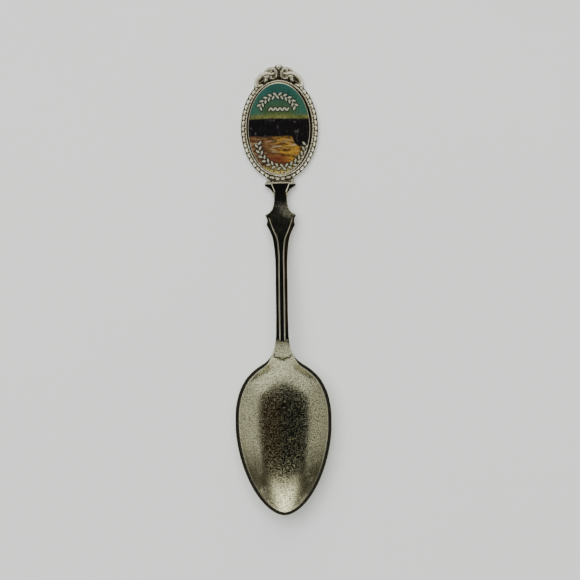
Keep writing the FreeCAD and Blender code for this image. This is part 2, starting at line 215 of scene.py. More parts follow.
# Half-width of the outline, in the stretches that meet at the baluster's and the capital's tips.
shoulder_and_stem = smooth_through([
    (WIDEST_Y, BOWL_HALF_WIDTH), (-29.0, 11.95), (-25.0, 10.75), (-22.0, 8.9), (-19.75, 6.4),
    (-18.3, 4.2), (-16.8, 2.95), (-15.0, 2.15), (-12.5, 1.72), (-9.0, 1.6), (0.0, 1.57), (8.6, 1.66),
    (11.5, 1.95), (13.4, 2.3), (15.5, 3.19),
    (NOTCH_TIP_Y, NOTCH_TIP_HALF_WIDTH),
], start_slope=0.0)
notch = smooth_through([(NOTCH_TIP_Y, NOTCH_TIP_HALF_WIDTH), (17.0, 3.55), (NOTCH_Y, NOTCH_HALF_WIDTH)])
ear = smooth_through([(NOTCH_Y, NOTCH_HALF_WIDTH), (18.1, 3.6), (EAR_TIP_Y, EAR_TIP_HALF_WIDTH)])
neck = smooth_through([
    (EAR_TIP_Y, EAR_TIP_HALF_WIDTH), (19.5, 3.2), (20.3, 2.42), (21.5, 1.92), (23.1, 1.66), (24.5, 1.95),
    (25.35, 2.45), (25.95, 3.1), (26.35, 3.8), (FLARE_TIP_Y, FLARE_TIP_HALF_WIDTH),
])
flare = smooth_through([(FLARE_TIP_Y, FLARE_TIP_HALF_WIDTH), (27.15, 3.9), (SHELF_Y, SHELF_HALF_WIDTH)])


def half_width(y):
    """Half the width of the spoon at a place along it, from the widest place of the bowl to the shelf."""
    width = shoulder_and_stem(y)
    for start, curve in ((NOTCH_TIP_Y, notch), (NOTCH_Y, ear), (EAR_TIP_Y, neck), (FLARE_TIP_Y, flare)):
        width = np.where(y > start, curve(y), width)
    return width


# --- Mesh helpers ---

def new_object(name, vertices, faces, attributes=None):
    """A smooth-shaded mesh object from vertices in millimetres, with optional numbers on its vertices."""
    mesh = bpy.data.meshes.new(name)
    mesh.from_pydata((np.asarray(vertices) * MM).tolist(), [], faces)
    mesh.polygons.foreach_set("use_smooth", [True] * len(mesh.polygons))
    for key, values in (attributes or {}).items():
        attribute = mesh.attributes.new(key, "FLOAT", "POINT")
        attribute.data.foreach_set("value", np.asarray(values, np.float32))
    mesh.update()
    thing = bpy.data.objects.new(name, mesh)
    bpy.context.scene.collection.objects.link(thing)
    return thing


def grid_faces(rows, columns, first=0, close=False, flip=False):
    """Quads over a grid of vertices numbered row by row from first."""
    last = columns if close else columns - 1
    i, j = np.meshgrid(np.arange(rows - 1), np.arange(last), indexing="ij")
    next_j = (j + 1) % columns
    corners = [i * columns + j, i * columns + next_j, (i + 1) * columns + next_j, (i + 1) * columns + j]
    faces = first + np.stack(corners, axis=-1).reshape(-1, 4)
    if flip:
        faces = faces[:, ::-1]
    return faces.tolist()


def merge_close(thing, distance):
    """Joins vertices that lie on each other, where a grid's row shrinks to a point."""
    work = bmesh.new()
    work.from_mesh(thing.data)
    bmesh.ops.remove_doubles(work, verts=work.verts, dist=distance * MM)
    bmesh.ops.recalc_face_normals(work, faces=work.faces)
    work.to_mesh(thing.data)
    work.free()


# --- Bowl and stem ---

def outline_rows():
    """Plan points of the right-hand outline from the tip of the bowl to the shelf, closer where it turns."""
    angle = np.linspace(0.0, math.pi / 2, 120)
    tip_x = BOWL_HALF_WIDTH * np.sin(angle) ** (2 / OUTLINE_POWER_X)
    tip_y = WIDEST_Y - TIP_LENGTH * np.maximum(np.cos(angle), 0.0) ** (2 / OUTLINE_POWER_Y)
    spans = [
        (WIDEST_Y, -20.0, 50), (-20.0, -18.2, 16), (-18.2, -16.0, 76), (-16.0, -14.0, 14),
        (-14.0, -12.0, 40), (-12.0, 8.0, 34), (8.0, NOTCH_TIP_Y, 66), (NOTCH_TIP_Y, NOTCH_Y, 9),
        (NOTCH_Y, EAR_TIP_Y, 14), (EAR_TIP_Y, FLARE_TIP_Y, 74), (FLARE_TIP_Y, SHELF_Y, 12),
    ]
    side_y = np.concatenate([np.linspace(low, high, count + 1)[1:] for low, high, count in spans])
    x = np.concatenate([tip_x, half_width(side_y)])
    y = np.concatenate([tip_y, side_y])
    return x, y


def inward_direction(x, y):
    """Unit plan directions from the outline into the metal: square to it in the bowl, level on the stem."""
    dx = np.gradient(x)
    dy = np.gradient(y)
    size = np.hypot(dx, dy)
    normal_x = -dy / size
    normal_y = dx / size
    normal_x[0] = 0.0
    normal_y[0] = 1.0
    share = 1 - smooth_step(-18.5, -15.5, y)
    normal_x = normal_x * share - (1 - share)
    normal_y = normal_y * share
    size = np.hypot(normal_x, normal_y)
    return normal_x / size, normal_y / size


# The curly bracket where the tongue of the stem ends on the bowl's heel, as seen on one side.
BRACKET = [
    (0.0, -17.85), (0.3, -17.62), (0.7, -17.36), (1.15, -17.25), (1.55, -17.22), (1.85, -17.1), (2.0, -16.85),
    (2.04, -16.35),
]
bracket_line = smooth_through(BRACKET)
# How far from the middle the groove lies, and the inner edge of the capital's facet.
reed_line = smooth_through([
    (CENTRE_REED_END_Y, 0.62), (-6.0, 0.65), (4.0, 0.65), (9.8, 0.68), (13.3, 1.1), (15.6, 2.0), (18.6, 3.0),
])
capital_line = smooth_through([(23.9, 0.95), (24.6, 1.1), (26.0, 1.6), (26.9, 1.95)])


def reeds_begin(x, y):
    """0 on the tongue and 1 on the reeds, whose middle one reaches further down the tongue."""
    end = CENTRE_REED_END_Y + (SIDE_REED_END_Y - CENTRE_REED_END_Y) * smooth_step(0.5, 0.75, np.abs(x))
    return smooth_step(end - 0.12, end + 0.12, y)


def stem_relief(x, y, width):
    """Height of the pattern on the stem above its top line: reeds, baluster panel, capital and ledge."""
    side = np.abs(x)
    reeds = reeds_begin(x, y)
    swell = smooth_step(CENTRE_REED_END_Y, -8.0, y)
    on_reeds = 1 - smooth_step(18.2, 18.8, y)
    wall = np.clip(1 - np.abs(side - reed_line(y)) / GROOVE_HALF_WIDTH, 0.0, 1.0)
    groove = GROOVE_DEPTH * wall * reeds * on_reeds
    inside = np.clip(side / np.maximum(reed_line(y), 0.1), 0.0, 1.0)
    crown = CROWN_DROP * inside ** 2 * swell * (1 - smooth_step(9.0, 13.0, y))
    outside = np.clip((side - reed_line(y)) / np.maximum(width - reed_line(y), 0.1), 0.0, 1.0)
    side_reed = SIDE_REED_DROP * outside ** 1.5 * swell * on_reeds
    on_capital = smooth_step(23.4, 25.4, y) * (1 - smooth_step(26.9, 27.1, y))
    beyond = smooth_step(0.0, CAPITAL_FACET_WIDTH, side - capital_line(y))
    facet = CAPITAL_FACET_DROP * beyond * on_capital
    ledge = LEDGE_DROP * smooth_step(SHELF_Y - LEDGE_WIDTH, SHELF_Y, y)
    return -groove - crown - side_reed - facet - ledge


def hollow_share(s, y):
    """Depth of the hollow as a share of its greatest depth, from the share s of the half-width."""
    to_tip = (WIDEST_Y - y) / (TIP_LENGTH - RIM_LAND)
    to_heel = (y - WIDEST_Y) / (HOLLOW_HEEL_Y - WIDEST_Y)
    along = np.clip(np.where(y < WIDEST_Y, to_tip, to_heel), 0.0, 1.0)
    return (1 - along ** DISH_POWER_Y) * (1 - np.abs(s) ** DISH_POWER_X)


def top_height(s, x, y):
    """Height of the upper face inside the rim land, and how much grime and painted shade darken it in the
    crease at the foot of the bracket.
    """
    side = np.abs(x)
    apart = distance_to(smooth_line(BRACKET, 70), side, y)
    on_tongue = (side < BRACKET[-1][0]) & (y > bracket_line(side))
    apart = np.where(on_tongue, -apart, apart)
    fade = 1 - smooth_step(-16.6, -15.4, y)
    depth = top_line(WIDEST_Y) - BOWL_WALL - HOLLOW_STEP
    z = top_line(y) - smooth_step(-0.04, 0.06, apart) * fade * HOLLOW_STEP - depth * hollow_share(s, y)
    # Grime and painted shade in the crease along the bracket's foot.
    crease = np.exp(-((apart - 0.1) / CREASE_HALF_WIDTH) ** 2) * (1 - smooth_step(-16.5, -16.1, y))
    return z, crease


def keel_share(y):
    """Depth of the underside along its middle, as a share of its greatest depth."""
    to_tip = (WIDEST_Y - y) / TIP_LENGTH
    to_heel = (y - WIDEST_Y) / (KEEL_END_Y - WIDEST_Y)
    tip_part = 1 - np.clip(to_tip, 0.0, 1.0) ** DISH_POWER_Y
    heel_part = (1 - np.clip(to_heel, 0.0, 1.0) ** 2) ** KEEL_POWER
    return np.where(y < WIDEST_Y, tip_part, heel_part)


def bowl_and_stem():
    """One closed skin: sections across the spoon from the bowl's tip to the shelf, and the hidden tongue."""
    out_x, out_y = outline_rows()
    in_x, in_y = inward_direction(out_x, out_y)
    bowl_part = 1 - smooth_step(RIM_FULL_Y, RIM_BEGINS_Y, out_y)
    land = STEM_LAND + (RIM_LAND - STEM_LAND) * bowl_part
    edge_round = STEM_ROUND + (RIM_ROUND - STEM_ROUND) * bowl_part
    on_neck = smooth_step(18.4, 19.2, out_y) * (1 - smooth_step(21.5, 22.5, out_y))
    edge_round = edge_round + NECK_EXTRA_ROUND * on_neck
    land = land + NECK_EXTRA_ROUND * on_neck

    def inset_point(inset):
        x = np.maximum(out_x + in_x * inset, 0.0)
        return x, out_y + in_y * inset

    columns = []
    # Upper face, from left to right.
    x_edge, y_edge = inset_point(land)
    satin = []
    creases = []
    for s in np.linspace(-1.0, 1.0, 69):
        x = s * x_edge
        z, crease = top_height(s, x, y_edge)
        columns.append((x, y_edge, z + stem_relief(x, y_edge, out_x)))
        satin.append(1 - reeds_begin(x, y_edge))
        creases.append(crease)
    # The rounded rim, from its inner edge out, down and under, on the right.
    rim = []
    start_z = columns[-1][2]
    for share in (0.07, 0.16, 0.5, 1.0):
        x, y = inset_point(land + (edge_round - land) * share)
        crest = top_line(y) + stem_relief(x_edge, y, out_x)
        z = start_z + (crest - start_z) * smooth_step(0.0, 0.16, share)
        rim.append((x, y, z))
    crest_z = rim[-1][2]
    for angle in np.linspace(0.0, math.pi / 2, 7)[1:]:
        x, y = inset_point(edge_round * (1 - math.sin(angle)))
        rim.append((x, y, crest_z - edge_round * (1 - math.cos(angle))))
    side_bottom = top_line(out_y) - edge_thickness(out_y) + UNDER_ROUND
    side_bottom = np.minimum(side_bottom, rim[-1][2] - 0.05)
    for angle in np.linspace(0.0, math.pi / 2, 6):
        x, y = inset_point(UNDER_ROUND * (1 - math.cos(angle)))
        z = np.maximum(side_bottom - UNDER_ROUND * math.sin(angle), 0.0)
        rim.append((x, y, z))
    columns += rim
    # The underside, from right to left.
    x_under, y_under = inset_point(UNDER_ROUND)
    depth = top_line(WIDEST_Y) - BOWL_WALL
    base = rim[-1][2]
    for s in np.linspace(1.0, -1.0, 41)[1:-1]:
        z = base - depth * keel_share(y_under) * (1 - abs(s) ** DISH_POWER_X)
        columns.append((s * x_under, y_under, np.maximum(z, 0.0)))
    # The left rim mirrors the right one.
    columns += [(-x, y, z) for x, y, z in rim[::-1]]

    rows = len(out_x)
    count = len(columns)
    vertices = np.array(columns).transpose(2, 0, 1).reshape(-1, 3)
    faces = grid_faces(rows, count, close=True, flip=True)
    faces.append([(rows - 1) * count + j for j in range(count)])
    tongue_vertices, tongue_faces = tongue(len(vertices))
    rest = [np.zeros(rows)] * (count - len(satin))
    numbers = {}
    for name, values in (("satin", satin), ("crease", creases)):
        on_grid = np.array(values + rest).T.ravel()
        numbers[name] = np.concatenate([on_grid, np.zeros(len(tongue_vertices))])
    vertices = np.vstack([vertices, tongue_vertices])
    spoon = new_object("bowl_and_stem_metal", vertices, faces + tongue_faces, numbers)
    merge_close(spoon, 0.002)
    return spoon


def tongue(first):
    """The flat end of the stem that lies in the back of the frame, with a small bevel all round."""
    bevel = TONGUE_BEVEL
    layers = [(bevel, 0.0), (0.0, bevel), (0.0, TONGUE_THICKNESS - bevel), (bevel, TONGUE_THICKNESS)]
    vertices = []
    for inset, z in layers:
        x = TONGUE_HALF_WIDTH - inset
        y = TONGUE_END_Y - inset
        vertices += [(x, SHELF_Y, z), (x, y, z), (-x, y, z), (-x, SHELF_Y, z)]
    faces = grid_faces(len(layers), 4, first=first, close=True)
    faces.append([first + j for j in (3, 2, 1, 0)])
    faces.append([first + 4 * (len(layers) - 1) + j for j in range(4)])
    return vertices, faces


# --- Finial frame ---

def ellipse_angles(count):
    """Angles round the frame that are evenly spaced along the path of the beads, with that spacing."""
    fine = np.linspace(0.0, 2 * math.pi, 8001)
    x = (FRAME_HALF_WIDTH - BEAD_INSET) * np.cos(fine)
    y = (FRAME_HALF_LENGTH - BEAD_INSET) * np.sin(fine)
    along = np.concatenate([[0.0], np.cumsum(np.hypot(np.diff(x), np.diff(y)))])
    places = np.linspace(0.0, along[-1], count + 1)[:-1]
    return np.interp(places, along, fine), places, along[-1]


def on_frame(angle, inset):
    """Plan place on the frame's oval, a distance in from its outer edge."""
    x = (FRAME_HALF_WIDTH - inset) * np.cos(angle)
    y = FRAME_Y + (FRAME_HALF_LENGTH - inset) * np.sin(angle)
    return x, y


def ring_columns(angle, places, length):
    """The frame's section from the foot of its outer wall over flange, beads and lip to the seat."""
    pitch = length / BEAD_COUNT
    along = (places + pitch / 2) % pitch - pitch / 2
    under_crest = smooth_step(CREST_START_Y - 0.5, CREST_START_Y + 0.2, on_frame(angle, BEAD_INSET)[1])
    in_notch = (np.abs(on_frame(angle, 0.0)[0]) < TONGUE_HALF_WIDTH) & (np.sin(angle) < 0)
    foot = np.where(in_notch, TONGUE_THICKNESS + NOTCH_CLEARANCE, 0.0)
    columns = []

    def add(inset, z):
        x, y = on_frame(angle, inset)
        columns.append((x, y, z + np.zeros_like(angle)))

    add(0.0, foot)
    flange = FLANGE_HEIGHT - 0.35 * under_crest
    for turn in np.linspace(0.0, math.pi, 7):
        radius = FLANGE_WIDTH / 2
        add(radius - radius * math.cos(turn), flange - radius + radius * math.sin(turn))
    channel = CHANNEL_HEIGHT - 0.1 * under_crest
    for inset in np.linspace(FLANGE_WIDTH + 0.02, LIP_OUTER_INSET, 17):
        across = (inset - BEAD_INSET) / BEAD_HALF_WIDTH
        bead = channel + (BEAD_TOP - CHANNEL_HEIGHT) * ridge(np.hypot(across, along / BEAD_HALF_LENGTH))
        add(inset, bead * (1 - under_crest) + channel * under_crest)
    radius = (SEAT_INSET - LIP_OUTER_INSET) / 2
    for turn in np.linspace(0.0, math.pi, 11):
        across = -math.cos(turn)
        add(LIP_OUTER_INSET + radius + radius * across, LIP_HEIGHT - 1.2 * radius * (1 - ridge(across)))
    add(SEAT_INSET, BACK_THICKNESS + 0.1)
    add(SEAT_INSET + 0.1, BACK_THICKNESS)
    return columns


def ring_with_beads():
    """The oval frame: its section swept all round, the seat, and the notched back."""
    count = 800
    angle, places, length = ellipse_angles(count)
    notch_edge = math.asin(TONGUE_HALF_WIDTH / FRAME_HALF_WIDTH)
    for edge in (1.5 * math.pi - notch_edge, 1.5 * math.pi + notch_edge):
        angle[np.argmin(np.abs(angle - edge))] = edge
    columns = ring_columns(angle, places, length)
    columns_count = len(columns)
    vertices = np.array(columns).transpose(2, 0, 1).reshape(-1, 3)
    faces = []
    for i in range(count):
        following = (i + 1) % count
        for j in range(columns_count - 1):
            a = i * columns_count + j
            b = following * columns_count + j
            faces.append([a, b, b + 1, a + 1])
    seat = [i * columns_count + columns_count - 1 for i in range(count)]
    faces.append(seat)
    # The back, with the notch that the stem's tongue lies in.
    feet = [i * columns_count for i in range(count)]
    high = [k for k in feet if vertices[k][2] > 0]
    low = [k for k in feet if vertices[k][2] == 0]
    turn = next(i for i in range(len(low)) if low[i] > high[-1])
    low = low[turn:] + low[:turn]
    top = TONGUE_THICKNESS + NOTCH_CLEARANCE
    corners = [
        (-TONGUE_HALF_WIDTH, TONGUE_END_Y, 0.0), (TONGUE_HALF_WIDTH, TONGUE_END_Y, 0.0),
        (-TONGUE_HALF_WIDTH, TONGUE_END_Y, top), (TONGUE_HALF_WIDTH, TONGUE_END_Y, top),
    ]
    n = len(vertices)
    vertices = np.vstack([vertices, corners])
    faces.append((low + [n, n + 1])[::-1])
    faces.append((high + [n + 3, n + 2])[::-1])
    faces.append([low[-1], high[0], n + 2, n])
    faces.append([n, n + 2, n + 3, n + 1])
    faces.append([n + 1, n + 3, high[-1], low[0]])
    # Patina and painted shade lie low between the beads, but not on the outer wall or the back.
    x, y, z = vertices.T
    shade_and_tarnish = 1 - smooth_step(CHANNEL_HEIGHT - 0.02, CHANNEL_HEIGHT + 0.24, z)
    outside = np.hypot(x / (FRAME_HALF_WIDTH - 0.1), (y - FRAME_Y) / (FRAME_HALF_LENGTH - 0.1))
    shade_and_tarnish[(outside > 1) | (z < BACK_THICKNESS - 0.1)] = 0.0
    return vertices, faces, shade_and_tarnish


def crest_outline():
    """The crest's outer edge from the right-hand end over the nub to the left-hand end."""
    arm = smooth_line([(6.31, CREST_START_Y), (6.25, 53.0), (5.9, 54.1), (4.95, 55.1), (3.65, 55.85)], 90)
    scroll = smooth_line([(3.65, 55.85), (3.1, 56.5), (2.2, 56.9), (1.4, 56.95), (1.1, 57.0)], 45)
    nub = smooth_line([(1.1, 57.0), (0.85, 57.35), (0.45, 57.48), (0.0, 57.5)], 22)
    right = np.vstack([arm, scroll[1:], nub[1:]])
    left = right[:-1][::-1] * (-1, 1)
    return np.vstack([right, left])


def ridge(share):
    """Section of a chased ridge, 1 on its crest and 0 at its foot. The share is of its half-width."""
    return np.maximum(1 - np.abs(share) ** RIDGE_POWER, 0.0)


def bar_height(x, y, line, radius_start, radius_end):
    """Height of a ridged bar over a plan line, with its half-width changing evenly along it."""
    height = np.zeros_like(x)
    radii = np.linspace(radius_start, radius_end, len(line))
    for (px, py), radius in zip(line, radii):
        height = np.maximum(height, radius * ridge(np.hypot(x - px, y - py) / radius))
    return height


def crest_relief(x, y):
    """Height of the crest's ornament above its ground, and how much painted shade darkens the seam between
    two of its bars.
    The ornament mirrors about the middle."""
    x = np.abs(x)
    c_scroll = smooth_line([
        (1.95, 55.85), (2.1, 56.25), (1.6, 56.5), (1.0, 56.2), (0.66, 55.5), (0.66, 54.75), (0.98, 54.15),
        (1.55, 53.9), (2.1, 54.1), (2.0, 54.5),
    ], 80)
    arm = smooth_line([
        (1.3, 55.25), (2.1, 55.15), (3.1, 55.3), (4.1, 54.95), (5.0, 54.25), (5.6, 53.3), (5.6, 52.4),
        (5.0, 51.95), (4.4, 52.2),
    ], 110)
    leaf = smooth_line([(0.0, 56.3), (0.35, 56.65), (0.75, 56.95)], 16)
    nub = smooth_line([(0.0, 57.12), (0.55, 57.12)], 10)
    smile = smooth_line([(0.0, 53.35), (0.45, 53.45), (0.75, 53.65)], 12)
    edge_bead = smooth_line([(3.6, 55.75), (2.95, 56.35), (2.1, 56.72), (1.3, 56.82)], 50)
    inner_leaf = smooth_line([(2.3, 53.6), (2.75, 54.5), (3.6, 54.4)], 24)
    mound = smooth_line([(0.0, 56.1), (0.0, 55.0), (0.0, 53.9)], 40)
    from_pearl = np.hypot(x - PEARL_X, y - PEARL_Y)
    bars = [
        bar_height(x, y, c_scroll, 0.46, 0.48),
        bar_height(x, y, arm, 0.54, 0.68),
        0.8 * bar_height(x, y, leaf, 0.3, 0.22),
        0.7 * bar_height(x, y, nub, 0.36, 0.32),
        0.8 * bar_height(x, y, smile, 0.22, 0.15),
        0.65 * bar_height(x, y, edge_bead, 0.4, 0.34),
        0.6 * bar_height(x, y, inner_leaf, 0.5, 0.4),
        0.3 * bar_height(x, y, mound, 0.6, 0.75),
        PEARL_RADIUS * ridge(from_pearl / PEARL_RADIUS),
    ]
    ordered = np.sort(np.array(bars), axis=0)
    seam = 1 - smooth_step(0.03, 0.11, ordered[-1] - ordered[-2])
    dimple = 0.35 * np.sqrt(np.maximum(PEARL_DIMPLE_RADIUS ** 2 - from_pearl ** 2, 0.0))
    return ordered[-1] - dimple, seam


def crest():
    """The ornament on top of the frame, as lines from inside the ring out to the crest's own edge."""
    outline = crest_outline()
    rows = len(outline)
    steps = np.hypot(*np.diff(outline, axis=0).T)
    share = np.concatenate([[0.0], np.cumsum(steps)]) / steps.sum()
    start = math.asin((CREST_START_Y - 1.6 - FRAME_Y) / (FRAME_HALF_LENGTH - CREST_INNER_INSET))
    angle = start + (math.pi - 2 * start) * share
    inner_x, inner_y = on_frame(angle, CREST_INNER_INSET)
    columns = []
    shade_and_tarnish_rows = []
    for along in np.linspace(0.0, 1.0, 96):
        x = inner_x + (outline[:, 0] - inner_x) * along
        y = inner_y + (outline[:, 1] - inner_y) * along
        from_edge = np.hypot(outline[:, 0] - x, outline[:, 1] - y)
        rounding = np.sqrt(np.maximum(1 - np.maximum(1 - from_edge / CREST_EDGE_ROUND, 0.0) ** 2, 0.0))
        height, seam = crest_relief(x, y)
        ground = CREST_BASE - CREST_EDGE_ROUND * (1 - rounding)
        columns.append((x, y, ground + CREST_RELIEF * height * smooth_step(0.0, 0.25, from_edge)))
        # Painted shade: a dark border along the crest's outer edge, and darker seams between its bars, partly
        # patina.
        border = 0.7 * (1 - smooth_step(0.08, 0.26, from_edge))
        shade_and_tarnish_rows.append(np.maximum(0.85 * seam, border))
    columns.append((outline[:, 0], outline[:, 1], np.full(rows, 0.1)))
    columns.append((outline[:, 0] * 0.995, outline[:, 1] - 0.05, np.zeros(rows)))
    # The underside stops at the ring's edge and then climbs inside it, so that no two faces lie in one plane.
    wall_x, wall_y = on_frame(angle, 0.03)
    columns.append((wall_x, wall_y, np.zeros(rows)))
    columns.append((inner_x, inner_y, np.full(rows, 0.4)))
    count = len(columns)
    vertices = np.array(columns).transpose(2, 0, 1).reshape(-1, 3)
    faces = grid_faces(rows, count, flip=True)
    faces.append(list(range(count)))
    faces.append([(rows - 1) * count + j for j in range(count)][::-1])
    shade_and_tarnish_rows += [np.zeros(rows)] * (count - len(shade_and_tarnish_rows))
    return vertices, faces, np.array(shade_and_tarnish_rows).T.ravel()


def finial_frame():
    """Ring and crest in one piece, as they are cast."""
    ring_vertices, ring_faces, ring_shade_and_tarnish = ring_with_beads()
    crest_vertices, crest_faces, crest_shade_and_tarnish = crest()
    first = len(ring_vertices)
    faces = ring_faces + [[first + k for k in face] for face in crest_faces]
    vertices = np.vstack([ring_vertices, crest_vertices])
    shade_and_tarnish = np.concatenate([ring_shade_and_tarnish, crest_shade_and_tarnish])
    return new_object("finial_frame_cast", vertices, faces, {"shade_and_tarnish": shade_and_tarnish})


# --- Solder fillet ---

def solder_fillet():
    """The bright bridge of solder between the straight ledge of the stem and the oval frame."""
    across = np.linspace(-SHELF_HALF_WIDTH, SHELF_HALF_WIDTH, 61)
    oval = FRAME_Y - FRAME_HALF_LENGTH * np.sqrt(1 - (across / FRAME_HALF_WIDTH) ** 2)
    gap = oval - SHELF_Y
    columns = [(across, np.full_like(across, SHELF_Y), np.full_like(across, TONGUE_THICKNESS))]
    for along in np.linspace(0.0, 1.0, 13):
        sag = np.minimum(gap, 0.8) * 0.85 * along * (1.25 - along)
        columns.append((across, SHELF_Y + gap * along, SOLDER_TOP - SOLDER_DROP * along - sag))
    columns.append((across, oval, np.full_like(across, TONGUE_THICKNESS)))
    count = len(columns)
    vertices = np.array(columns).transpose(2, 0, 1).reshape(-1, 3)
    faces = grid_faces(len(across), count, close=True)
    faces.append(list(range(count)))
    faces.append([(len(across) - 1) * count + j for j in range(count)][::-1])
    return new_object("solder_fillet", vertices, faces)


# --- Picture plate ---

def mark(x, y, centre, tilt, half_length, half_breadth):
    """Height, from 0 to 1, of one pointed leaf pressed up in the plate."""
    dx = x - centre[0]
    dy = y - centre[1]
    along = (dx * math.cos(tilt) + dy * math.sin(tilt)) / half_length
    across = (dy * math.cos(tilt) - dx * math.sin(tilt)) / half_breadth
    taper = np.maximum(1 - along ** 2, 0.0)
    return np.maximum(taper - np.abs(across), 0.0)


def laurel(centre, radius_x, radius_y, start, end, leaves):
    """Leaves set in turn on the two sides of an elliptical arc, leaning outwards from its middle."""
    marks = []
    for k in range(leaves):
        share = k / (leaves - 1)
        angle = math.radians(start + (end - start) * share)
        side = 1 if k % 2 else -1
        onward = 1 if share > 0.5 else -1
        offset = LEAF_FROM_STALK * side
        x = centre[0] + (radius_x + offset) * math.cos(angle)
        y = centre[1] + (radius_y + offset) * math.sin(angle)
        tilt = angle + onward * (math.pi / 2 - LEAF_LEAN * side)
        marks.append(((x, y), tilt, LEAF_HALF_LENGTH, LEAF_HALF_BREADTH))
    return marks


def garland(x, y):
    """Pressed laurel sprays: one arch in the sky, a short row under it, one swag below."""
    marks = laurel((-0.4, 44.9), radius_x=4.9, radius_y=4.6, start=18, end=162, leaves=21)
    marks += laurel((0.55, 37.4), radius_x=6.1, radius_y=6.2, start=-180, end=-2, leaves=29)
    for k in range(-4, 5):
        lean = 0.55 if k % 2 else -0.55
        marks.append(((-0.1 + 0.58 * k, 46.0), math.pi / 2 + lean, 0.66, 0.3))
    height = np.zeros_like(x)
    halo = np.zeros_like(x)
    for centre, tilt, half_length, half_breadth in marks:
        height = np.maximum(height, mark(x, y, centre, tilt, half_length, half_breadth))
        wider = mark(x, y, centre, tilt, half_length + 0.3, half_breadth + 0.34)
        halo = np.maximum(halo, wider)
    return smooth_step(0.05, 0.4, height), smooth_step(0.05, 0.35, halo)


def picture_plate():
    """The domed plate: rings of vertices from its middle over the rolled edge to the seat."""
    spokes = 420
    angle = np.linspace(0.0, 2 * math.pi, spokes + 1)[:-1]
    inner = 1 - PLATE_EDGE_ROUND / PLATE_HALF_WIDTH
    rows = []
    for share in np.linspace(0.0, 1.0, 120) ** 0.8 * inner:
        z = PLATE_EDGE_Z + DOME_RISE * (1 - (share / inner) ** 2)
        rows.append((share, z))
    for turn in np.linspace(0.0, math.pi / 2, 9)[1:]:
        share = inner + (1 - inner) * math.sin(turn)
        rows.append((share, PLATE_EDGE_Z - PLATE_EDGE_ROUND * (1 - math.cos(turn))))
    rows.append((1.0, BACK_THICKNESS + 0.05))
    share = np.array([row[0] for row in rows])[:, None]
    x = PLATE_X + PLATE_HALF_WIDTH * share * np.cos(angle)[None, :]
    y = PLATE_Y + PLATE_HALF_LENGTH * share * np.sin(angle)[None, :]
    z = np.array([row[1] for row in rows])[:, None] + np.zeros_like(x)
    rolled_edge = smooth_step(0.974, 0.98, share) + np.zeros_like(x)
    raised, halo = garland(x, y)
    z = z + LEAF_RISE * raised - HALO_DIP * halo * (1 - raised)
    vertices = np.stack([x, y, z], axis=-1).reshape(-1, 3)
    faces = grid_faces(len(rows), spokes, close=True)
    numbers = {"raised": raised.ravel(), "halo": halo.ravel(), "rolled_edge": rolled_edge.ravel()}
    plate = new_object("picture_plate_pressed", vertices, faces, numbers)
    merge_close(plate, 0.002)
    return plate


# --- Materials ---

class Nodes:
    """A short way to write a node material: each method adds a node and gives its output socket."""

    def __init__(self, name):
        self.material = bpy.data.materials.new(name)
        self.material.use_nodes = True
        self.tree = self.material.node_tree
        self.tree.nodes.clear()
        self.output = self.tree.nodes.new("ShaderNodeOutputMaterial")
        self.shader = self.tree.nodes.new("ShaderNodeBsdfPrincipled")
        self.link(self.shader.outputs[0], self.output.inputs[0])
        self.place = self.tree.nodes.new("ShaderNodeTexCoord").outputs["Object"]

    def link(self, source, target):
        """Puts a number, a colour or another node's output into a socket."""
        if isinstance(source, (int, float)):
            target.default_value = source
        elif isinstance(source, tuple):
            target.default_value = source if len(source) == 4 else (*source, 1.0)
        else:
            self.tree.links.new(source, target)

    def noise(self, size_mm, detail=2.0, roughness=0.5, stretch=(1, 1, 1)):
        """Soft noise with spots of about the given size. A stretch over 1 packs it closer along that axis."""
        mapping = self.tree.nodes.new("ShaderNodeMapping")
        mapping.inputs["Scale"].default_value = stretch
        self.link(self.place, mapping.inputs["Vector"])
        node = self.tree.nodes.new("ShaderNodeTexNoise")
        node.inputs["Scale"].default_value = 1 / (size_mm * MM)
        node.inputs["Detail"].default_value = detail
        node.inputs["Roughness"].default_value = roughness
        self.link(mapping.outputs[0], node.inputs["Vector"])
        return node.outputs["Fac"]

    def axis(self, name):
        """A coordinate in millimetres."""
        split = self.tree.nodes.new("ShaderNodeSeparateXYZ")
        self.link(self.place, split.inputs[0])
        return self.math("MULTIPLY", split.outputs[name], 1 / MM)

    def attribute(self, name):
        """A number that the mesh carries on its vertices."""
        node = self.tree.nodes.new("ShaderNodeAttribute")
        node.attribute_name = name
        return node.outputs["Fac"]

    def math(self, operation, first, second=0.0):
        node = self.tree.nodes.new("ShaderNodeMath")
        node.operation = operation
        self.link(first, node.inputs[0])
        self.link(second, node.inputs[1])
        return node.outputs[0]

    def ramp(self, value, low, high, start=0.0, end=1.0):
        """A smooth change from start to end as value goes from low to high."""
        node = self.tree.nodes.new("ShaderNodeMapRange")
        node.interpolation_type = "SMOOTHSTEP"
        for key, number in (("From Min", low), ("From Max", high), ("To Min", start), ("To Max", end)):
            self.link(number, node.inputs[key])
        self.link(value, node.inputs["Value"])
        return node.outputs[0]

    def mix(self, share, first, second):
        """The first colour where share is 0 and the second where it is 1."""
        node = self.tree.nodes.new("ShaderNodeMix")
        node.data_type = "RGBA"
        self.link(share, node.inputs["Factor"])
        self.link(first, node.inputs[6])
        self.link(second, node.inputs[7])
        return node.outputs[2]

    def bump(self, height, strength, distance_mm):
        node = self.tree.nodes.new("ShaderNodeBump")
        node.inputs["Strength"].default_value = strength
        node.inputs["Distance"].default_value = distance_mm * MM
        self.link(height, node.inputs["Height"])
        self.link(node.outputs[0], self.shader.inputs["Normal"])

    def set(self, **values):
        for key, value in values.items():
            self.link(value, self.shader.inputs[key.replace("_", " ")])


